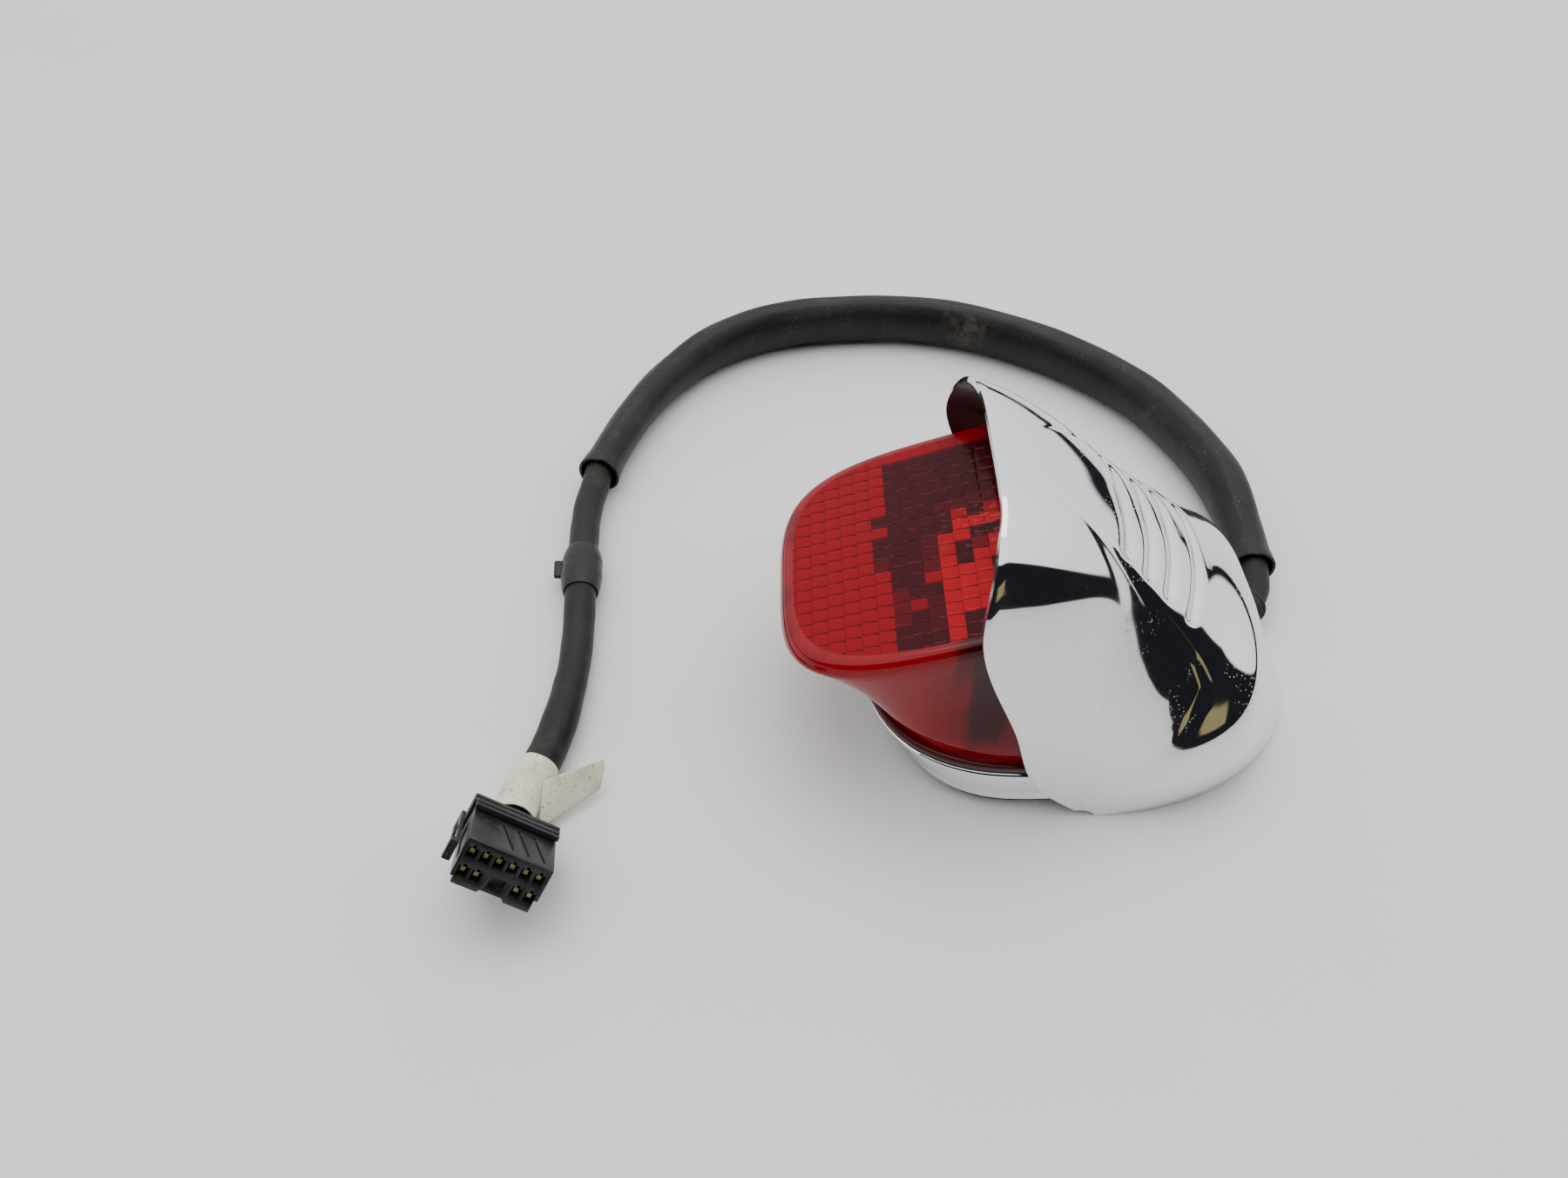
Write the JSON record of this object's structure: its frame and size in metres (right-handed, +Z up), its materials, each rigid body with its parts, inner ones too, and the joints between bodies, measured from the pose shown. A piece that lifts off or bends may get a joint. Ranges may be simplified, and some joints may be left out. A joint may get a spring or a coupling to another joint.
{
  "type": "motorcycle tail light",
  "caption": "Fender-mounted tail light with a prismatic red lens, a chrome visor hood on a chrome base, and a sleeved wiring harness ending in a multi-way connector.",
  "frame": {"origin": "under the middle of the lamp, without its harness, on the plane that it stands on", "axes": "+Z up from the fender, -X towards the lens nose, +X towards the hood's tail, Y across"},
  "size_m": [0.3035, 0.3343, 0.113],
  "materials": {
    "chrome": "polished",
    "red_lens": "clear red acrylic, prismatic face",
    "black_rubber": "matte",
    "zinc_steel": "satin",
    "contact_brass": "satin",
    "mirror_plastic": "bright",
    "clear_glass": "clear",
    "brown_phenolic": "matte",
    "black_vinyl": "satin, dusty",
    "cream_label": "matte, worn",
    "black_nylon": "satin"
  },
  "bodies": {
    "root": {"base_housing": "chrome", "visor_hood": "chrome", "lens": "red_lens", "lens_gasket": "black_rubber", "fender_gasket": "black_rubber", "reflector": "mirror_plastic", "bulb_socket": "brown_phenolic", "lens_screw_left": "zinc_steel", "lens_screw_right": "zinc_steel", "hood_screw_left": "zinc_steel", "hood_screw_right": "zinc_steel", "mounting_stud_front": "zinc_steel", "mounting_stud_rear": "zinc_steel", "stud_washer_front": "zinc_steel", "stud_washer_rear": "zinc_steel", "stud_nut_front": "zinc_steel", "stud_nut_rear": "zinc_steel", "harness_grommet": "black_rubber", "socket_lead": "black_vinyl", "loom_tail": "black_vinyl", "outer_sleeve": "black_vinyl", "wiring_loom": "black_vinyl", "tape_band": "black_vinyl", "printed_label": "cream_label", "connector_housing": "black_nylon", "connector_cap": "black_nylon", "terminal_01": "contact_brass", "terminal_02": "contact_brass", "terminal_03": "contact_brass", "terminal_04": "contact_brass", "terminal_05": "contact_brass", "terminal_06": "contact_brass", "terminal_07": "contact_brass", "terminal_08": "contact_brass", "terminal_09": "contact_brass", "terminal_10": "contact_brass"},
    "socket_plunger": {"socket_plunger": "contact_brass"},
    "bulb": {"bulb_cap": "contact_brass", "bulb_glass": "clear_glass"},
    "connector_lock": {"connector_lock": "black_nylon"},
    "connector_latch": {"connector_latch": "black_nylon"}
  },
  "joints": [
    {"name": "bulb_push", "type": "slide", "parent": "root", "child": "socket_plunger", "axis": [0, 0, -1], "range_m": [0, 0.002], "stiffness_N_per_m": 1500},
    {"name": "bulb_twist", "type": "hinge", "parent": "socket_plunger", "child": "bulb", "pos_m": [-0.045, 0, 0.0247], "axis": [0, 0, 1], "range_deg": [0, 20]},
    {"name": "connector_lock_hinge", "type": "hinge", "parent": "root", "child": "connector_lock", "pos_m": [-0.17687, -0.07723, 0.02292], "axis": [0.8603, -0.1399, -0.4903], "range_deg": [-50, 0]},
    {"name": "connector_latch_flex", "type": "hinge", "parent": "root", "child": "connector_latch", "pos_m": [-0.19485, -0.07909, 0.02483], "axis": [0.4863, 0.5137, 0.7068], "range_deg": [0, 4], "stiffness_Nm_per_rad": 0.05}
  ]
}
